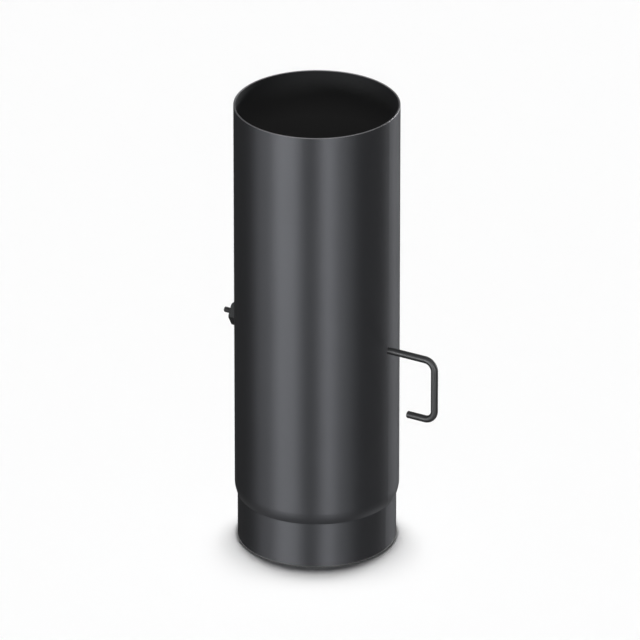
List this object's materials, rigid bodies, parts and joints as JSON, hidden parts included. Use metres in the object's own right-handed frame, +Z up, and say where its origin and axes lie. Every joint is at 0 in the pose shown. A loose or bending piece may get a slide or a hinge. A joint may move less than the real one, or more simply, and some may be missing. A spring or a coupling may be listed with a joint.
{
  "type": "stove pipe damper",
  "caption": "Round black steel flue pipe with a swaged spigot end and a hand-turned damper plate on a cross spindle, its rod end bent into an open handle.",
  "frame": {"origin": "on the pipe's axis at the lower rim of the spigot", "axes": "+Z up the pipe's axis from the spigot to the plain end, +X along the spindle towards the handle"},
  "size_m": [0.2737, 0.184, 0.526],
  "materials": {
    "black_paint": "satin heat-proof black paint",
    "black_rod": "satin black paint on a drawn rod",
    "dark_hardware": "blackened steel"
  },
  "bodies": {
    "pipe": {"flue_pipe": "black_paint"},
    "damper": {"spindle_handle": "black_rod", "damper_plate": "black_paint", "flat_washer": "dark_hardware", "spring_washer": "dark_hardware", "spindle_nut": "dark_hardware", "saddle_clip_1": "dark_hardware", "saddle_clip_2": "dark_hardware", "clip_bolt_1": "dark_hardware", "clip_bolt_2": "dark_hardware", "clip_bolt_3": "dark_hardware", "clip_bolt_4": "dark_hardware", "clip_nut_1": "dark_hardware", "clip_nut_2": "dark_hardware", "clip_nut_3": "dark_hardware", "clip_nut_4": "dark_hardware"}
  },
  "joints": [
    {"name": "spindle_turn", "type": "hinge", "parent": "pipe", "child": "damper", "pos_m": [0, 0, 0.248], "axis": [1, 0, 0], "continuous": true}
  ]
}
